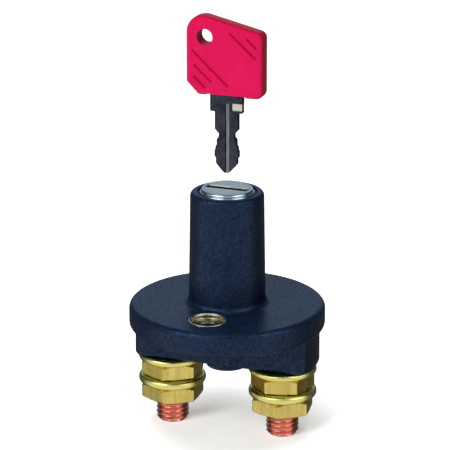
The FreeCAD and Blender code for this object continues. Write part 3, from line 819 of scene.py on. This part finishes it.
def key_head():
    bottom = KEY_TIP + BLADE_LENGTH + 5.1
    left, right, slope, corner = -12.3, 12.0, 0.23, 3.75
    top_left = bottom + 24.3 + (-6.0 - left) * slope
    top_right = bottom + 24.3 + (-6.0 - right) * slope
    corners = [
        (left + corner, bottom, 1.2), (right, bottom, 2.4), (right, top_right, 2.2),
        (left, top_left, 5.4), (left, bottom + corner, 1.2),
    ]
    body = slab(corners, fillet_steps(1.15, -2.5, 2.5, count=6), upright=True)
    hole = lathe([
        (0, -2.6), (2.75, -2.6), (2.75, -2.49), (2.5, -2.4), (2.4, -2.15), (2.4, 2.15), (2.5, 2.4),
        (2.75, 2.49), (2.75, 2.6), (0, 2.6),
    ], 64)
    moved(hole, Matrix.Translation((-6.3, 0, bottom + 17.9)) @ Matrix.Rotation(math.radians(90), 4, "X"))
    tools = [hole, block((-6.3, 6.4), (-4, 4), (bottom - 1, bottom + 0.5))]
    tools.append(block((-4.02, 4.02), (-1.02, 1.02), (bottom, bottom + 6.52)))
    for start, end in GRIP_GROOVES:
        for side in (-1, 1):
            tools.append(capsule(
                Vector((start[0], side * 2.62, bottom + start[1])),
                Vector((end[0], side * 2.62, bottom + end[1])),
                0.5,
            ))
    piece("key_head_visual", combine(body, tools), "key", KEY_RED)


# ---------------------------------------------------------------- build

top_housing()
base_housing()
return_spring()
mounting_bush("mounting_bush_front", -1)
mounting_bush("mounting_bush_rear", 1)
lock_barrel()
lock_seal()
lock_plug()
for end, side, upper_turn, lower_turn in (("left", -1, 32.5, 32.5), ("right", 1, 15, 38)):
    terminal_stud("terminal_stud_" + end, side)
    washer("upper_washer_" + end, side, BLOCK_BOTTOM, 2.0)
    thin_nut("upper_nut_" + end, side, -12.7, upper_turn)
    washer("lower_washer_" + end, side, -17.7, 2.6)
    thin_nut("lower_nut_" + end, side, -20.3, lower_turn)
key_blade()
key_head()


# ---------------------------------------------------------------- floor, light and camera

def floor():
    bm = bmesh.new()
    half = 6.0
    corners = ((-half, -half), (half, -half), (half, half), (-half, half))
    bm.faces.new([bm.verts.new((x, y, STUD_END * MM)) for x, y in corners])
    mesh = bpy.data.meshes.new("floor")
    bm.to_mesh(mesh)
    bm.free()
    ground = bpy.data.objects.new("floor", mesh)
    bpy.context.scene.collection.objects.link(ground)
    surface = Surface("floor_paper", roughness=0.9)
    surface.colour(surface.blend(surface.noise(3), (0.90, 0.90, 0.90), (0.93, 0.93, 0.93)))
    surface.shader.inputs["Emission Color"].default_value = (1, 1, 1, 1)
    surface.shader.inputs["Emission Strength"].default_value = 0.35
    mesh.materials.append(surface.material)
    ground.visible_glossy = False


def area_light(name, place, target, width, height, power):
    """A soft lamp that glossy surfaces don't mirror, since the world gives them their reflections."""
    lamp = bpy.data.lights.new(name, "AREA")
    lamp.shape = "RECTANGLE"
    lamp.size = width
    lamp.size_y = height
    lamp.energy = power
    thing = bpy.data.objects.new(name, lamp)
    thing.location = place
    thing.rotation_euler = (Vector(target) - Vector(place)).to_track_quat("-Z", "Y").to_euler()
    thing.visible_glossy = False
    bpy.context.scene.collection.objects.link(thing)


def world(strength, fill):
    """A pale studio: white to the camera, even to diffuse light, and shaped for reflections."""
    made = bpy.data.worlds.new("studio")
    nodes = Nodes(made, "Generated")
    facing = math.radians(20)
    ahead = nodes.towards((math.sin(facing), -math.cos(facing), 0))
    across = nodes.towards((math.cos(facing), math.sin(facing), 0))
    bearing = nodes.product(nodes.math("ARCTAN2", across, ahead), 180 / math.pi)
    turned = nodes.math("ABSOLUTE", bearing)
    skewed = nodes.math("ABSOLUTE", nodes.math("ADD", bearing, 8.0))
    height = nodes.axis("Z")

    front = nodes.remap(skewed, 78, 102, 0.88, 0.10)
    behind = nodes.product(nodes.remap(turned, 148, 168, 0.0, 0.45), nodes.remap(height, 0.0, 0.1))
    lamps = 0.0
    for centre, power in ((-46, 2.6), (54, 2.0)):
        aside = nodes.math("ABSOLUTE", nodes.math("SUBTRACT", bearing, centre))
        above = nodes.math("ABSOLUTE", nodes.math("SUBTRACT", height, 0.50))
        lamp = nodes.product(nodes.remap(aside, 34, 14), nodes.remap(above, 0.42, 0.20), power)
        lamps = nodes.math("ADD", lamps, lamp)
    dimmed = nodes.product(nodes.remap(height, 0.0, 0.12), nodes.remap(turned, 125, 105), 0.55)
    level = nodes.product(nodes.math("ADD", front, behind), nodes.math("SUBTRACT", 1.0, dimmed))
    level = nodes.product(nodes.math("ADD", level, lamps), strength)

    sky = nodes.blend(nodes.remap(ahead, -1, 0.6), (0.62, 0.86, 1.12), (0.90, 0.97, 1.0))
    tint = nodes.blend(nodes.remap(height, -0.05, 0.15), (1.0, 0.965, 0.93), sky)
    shine = nodes.node("VectorMath", operation="SCALE")
    nodes.feed(shine.inputs[0], tint)
    nodes.feed(shine.inputs["Scale"], level)
    rays = nodes.node("LightPath").outputs
    colour = nodes.blend(rays["Is Glossy Ray"], (fill, fill, fill), shine.outputs[0])
    colour = nodes.blend(rays["Is Camera Ray"], colour, (1.0, 1.0, 1.0))
    background = nodes.tree.nodes["Background"]
    nodes.feed(background.inputs["Color"], colour)
    background.inputs["Strength"].default_value = 1.0
    bpy.context.scene.world = made


def camera():
    """Looks at the switch from 19.7 degrees to the right and 19.8 degrees above."""
    azimuth, elevation = math.radians(19.7), math.radians(19.8)
    distance, frame_width = 0.900, 450
    aim = Vector((0, 0, 0.0073))
    aim_column, aim_row, per_metre = 227.2, 302.2, 3270
    focal = per_metre * distance
    back = Vector((
        math.sin(azimuth) * math.cos(elevation),
        -math.cos(azimuth) * math.cos(elevation),
        math.sin(elevation),
    ))
    right = Vector((math.cos(azimuth), math.sin(azimuth), 0))
    up = right.cross(-back).normalized()
    tilt = math.atan((aim_row - frame_width / 2) / focal)
    view = -back * math.cos(tilt) + up * math.sin(tilt)
    swing = math.atan((aim_column - frame_width / 2) / focal)
    view = view * math.cos(swing) - right * math.sin(swing)
    up = right.cross(view).normalized()
    side = view.cross(up).normalized()
    lens = bpy.data.cameras.new("camera")
    lens.sensor_width = 36
    lens.lens = focal / frame_width * lens.sensor_width
    lens.clip_start = 0.01
    lens.clip_end = 50
    thing = bpy.data.objects.new("camera", lens)
    turn = Matrix((side, up, -view)).transposed().to_4x4()
    thing.matrix_world = Matrix.Translation(aim + back * distance) @ turn
    bpy.context.scene.collection.objects.link(thing)
    bpy.context.scene.camera = thing


floor()
world(0.9, 0.09)
area_light("key_light", (-0.16, -0.86, 0.60), (0, 0, 0.03), 0.4, 0.4, 8)
area_light("low_light", (-0.75, -0.40, -0.02), (0, 0, -0.01), 0.5, 0.06, 3)
area_light("top_light", (-0.1, 0.1, 1.6), (0, 0, 0), 1.2, 1.2, 26)
camera()
bpy.context.scene.view_settings.view_transform = "Standard"
